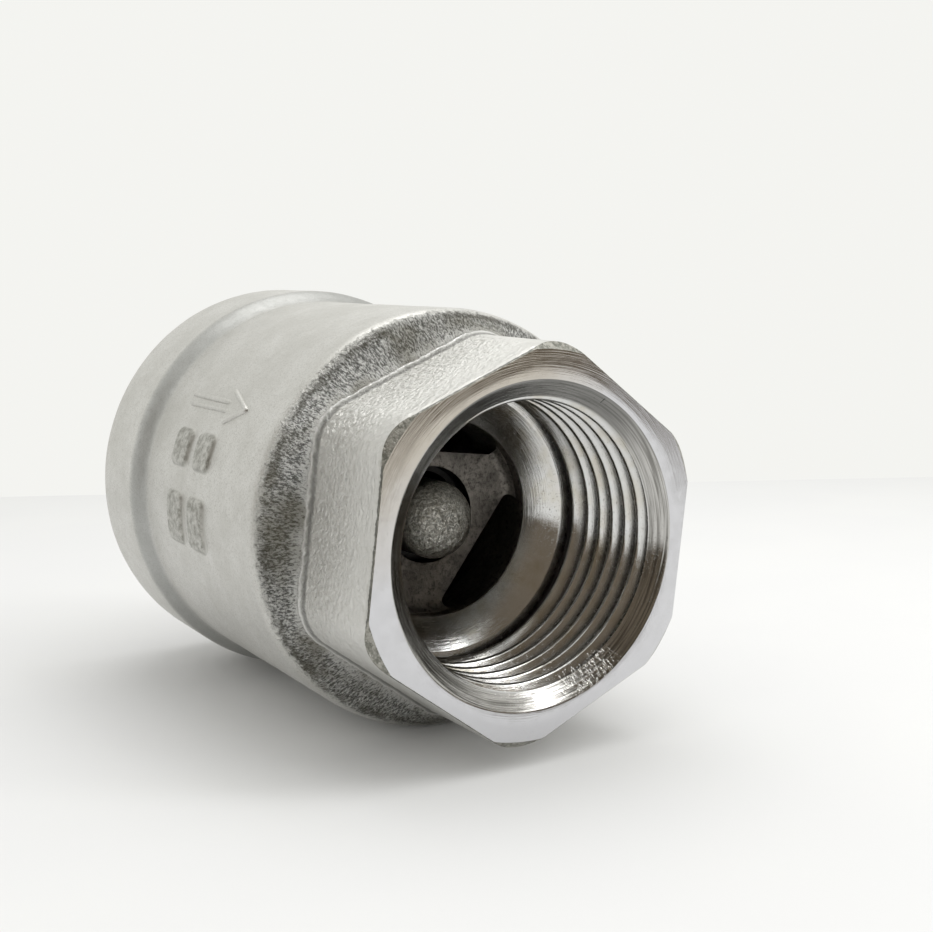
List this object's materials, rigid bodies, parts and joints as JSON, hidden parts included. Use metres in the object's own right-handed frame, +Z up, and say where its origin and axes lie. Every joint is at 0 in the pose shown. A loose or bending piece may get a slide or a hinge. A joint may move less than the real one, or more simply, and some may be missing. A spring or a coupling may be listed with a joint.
{
  "type": "check valve",
  "caption": "In-line spring check valve: hexagonal threaded ends, round barrel with a thick ring, sprung disc guided by a spider, and a screwed inlet cap.",
  "frame": {"origin": "centre of the inlet cap's end face, on the axis of flow", "axes": "+X along the axis of flow from inlet to outlet; +Z up as the valve lies on its side; +Y completes the right-handed set"},
  "size_m": [0.075, 0.0514, 0.0514],
  "materials": {
    "cast_steel": "bead-blasted investment-cast stainless steel, satin",
    "turned_steel": "turned stainless steel",
    "spring_steel": "bright drawn stainless wire",
    "ptfe": "white, waxy"
  },
  "bodies": {
    "valve_body": {"body": "cast_steel", "inlet_cap": "cast_steel", "body_gasket": "ptfe", "spring": "spring_steel"},
    "disc_assembly": {"disc": "turned_steel", "disc_seal": "ptfe", "seal_washer": "turned_steel", "lock_washer": "spring_steel", "disc_nut": "turned_steel"}
  },
  "joints": [
    {"name": "disc_lift", "type": "slide", "parent": "valve_body", "child": "disc_assembly", "axis": [1, 0, 0], "range_m": [0, 0.007], "stiffness_N_per_m": 200, "springref_m": -0.01, "deforming": ["spring"]}
  ]
}
